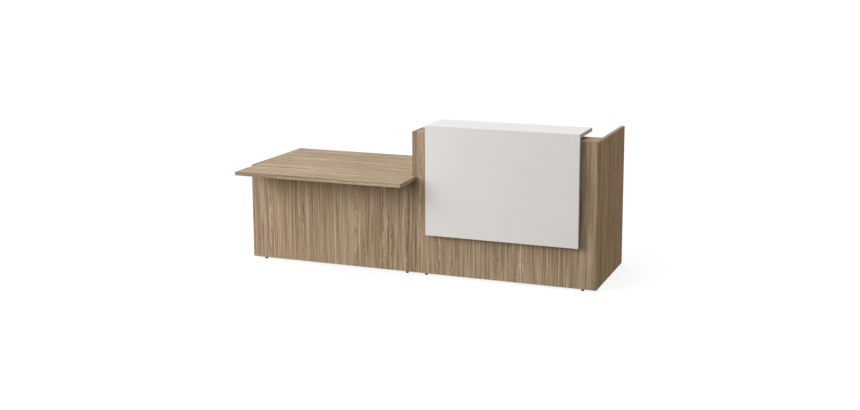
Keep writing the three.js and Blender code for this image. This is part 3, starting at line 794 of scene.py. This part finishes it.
def foot_bracket_screws(metal):
    """Two screws side by side in each foot bracket, into the gable."""
    form = pan_head_screw()
    for node in starting("foot_bracket_"):
        low, high, middle = span(node)
        inward, face = (TO_LEFT, high.x) if node.endswith("right") else (TO_RIGHT, low.x)
        setbacks = (middle.y - FOOT_BRACKET_HOLES / 2, middle.y + FOOT_BRACKET_HOLES / 2)
        places = [Vector((face, setback, high.z - BRACKET_HOLE_INSET)) for setback in setbacks]
        copies = [(form, placed(place + inward * PLATE, inward)) for place in places]
        piece(node + "_screws", copies, metal)


def between(low, high, shares):
    return [low + (high - low) * share for share in shares]


def cam_caps(plastic):
    """Covers of the eccentric connectors that draw the boards together, on their hidden faces."""
    form = cam_cap()

    def row(name, places, way):
        copies = [(form, placed(place, way)) for place in places]
        piece(name + "_cam_caps", copies, plastic)

    _, left_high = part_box("left_gable")
    middle_low, middle_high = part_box("middle_gable")
    right_low, right_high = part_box("right_gable")
    bays = {
        "low": (left_high.x, middle_low.x, left_high.z),
        "tall": (middle_high.x, right_low.x, right_high.z),
    }
    worktop = left_high.z - BOARD
    depths = between(right_low.y, right_high.y, CAM_DEPTHS)
    for label, (left, right, top) in bays.items():
        sides = (left + CAM_INSET, right - CAM_INSET)
        rises = between(right_low.z, top, CAM_RISES)
        row(f"{label}_front", [Vector((x, right_low.y + BOARD, z)) for x in sides for z in rises], TO_STAFF)
        row(f"{label}_worktop", [Vector((x, y, worktop)) for x in sides for y in depths], DOWN)
    left, right, top = bays["tall"]
    setback = span("counter_ledge")[2].y + BOARD / 2
    row("ledge", [Vector((x, setback, top - BOARD)) for x in (left + CAM_INSET, right - CAM_INSET)], DOWN)


def finish_frame():
    """Every node's finish, and the pieces that replace the faceted fittings or add to them."""
    for seed, (name, axes) in enumerate(BOARDS.items()):
        dress([name], laminate(name, axes, seed))
    dress(WHITE_BOARDS, white_laminate())
    metal = zinc_steel()
    dress(holding("_screw_") + holding("bracket") + starting("foot_stem", "foot_insert"), metal)
    black = moulded_plastic("black_plastic", *BLACK_PLASTIC)
    dress(starting("foot_pad", "grommet"), black)
    feet(metal, black)
    counter_fixings(metal)
    bracket_screws(metal)
    foot_bracket_screws(metal)
    cam_caps(moulded_plastic("brown_plastic", *BROWN_PLASTIC))


def floor():
    """A pale floor that reads as white and still takes the desk's shadow."""
    half = FLOOR_SIZE / 2
    corners = [(-half, -half, 0), (half, -half, 0), (half, half, 0), (-half, half, 0)]
    mesh = bpy.data.meshes.new("floor")
    mesh.from_pydata(corners, [], [(0, 1, 2, 3)])
    finish = new_finish("pale_floor")
    seen = finish.seen()
    matt = finish.node("ShaderNodeBsdfDiffuse", {"Color": finish.mix(seen, FLOOR_BOUNCE, FLOOR_COLOUR)})
    glow = finish.node("ShaderNodeEmission", {"Strength": finish.times(seen, FLOOR_GLOW)})
    both = finish.node("ShaderNodeAddShader", {0: matt.outputs[0], 1: glow.outputs[0]})
    finish.node("ShaderNodeOutputMaterial", {"Surface": both.outputs[0]})
    mesh.materials.append(finish.owner)
    made = link("floor", mesh)


def sky():
    """White to the eye, and a weak even fill for the desk."""
    world = bpy.data.worlds.new("studio")
    bpy.context.scene.world = world
    finish = Finish(world)
    strength = finish.remap(finish.seen(), 0.0, 1.0, SKY_STRENGTH, SKY_SEEN)
    light = finish.node("ShaderNodeBackground", {"Color": (1.0, 1.0, 1.0, 1.0), "Strength": strength})
    finish.node("ShaderNodeOutputWorld", {"Surface": light.outputs[0]})


def lights():
    """Soft light from the front, above and behind, and a softbox that falls off along the desk."""
    for name, sun in SUNS.items():
        lamp = bpy.data.lights.new(name, "SUN")
        lamp.energy = sun.strength
        lamp.angle = math.radians(sun.softness)
        made = link(name, lamp)
        made.rotation_euler = (math.radians(90 - sun.height), 0, math.radians(-sun.side))
        made.visible_glossy = sun.gloss
    box = bpy.data.lights.new("softbox", "AREA")
    box.energy = SOFTBOX_POWER
    box.size = SOFTBOX_SIZE
    made = link("softbox", box)
    made.location = SOFTBOX_PLACE
    aim = Vector(SOFTBOX_AIM) - Vector(SOFTBOX_PLACE)
    made.rotation_euler = aim.to_track_quat("-Z", "Y").to_euler()


def camera():
    lens = bpy.data.cameras.new("camera")
    lens.sensor_fit = "HORIZONTAL"
    lens.sensor_width = SENSOR_WIDTH
    lens.lens = FOCAL_PIXELS * SENSOR_WIDTH / IMAGE_WIDTH
    lens.shift_x, lens.shift_y = CAMERA_SHIFT
    made = link("camera", lens)
    made.location = CAMERA_PLACE
    made.rotation_euler = (math.radians(90 - CAMERA_PITCH), 0, math.radians(CAMERA_AZIMUTH))
    bpy.context.scene.camera = made


bpy.context.scene.view_settings.view_transform = "Standard"
finish_frame()
floor()
sky()
lights()
camera()
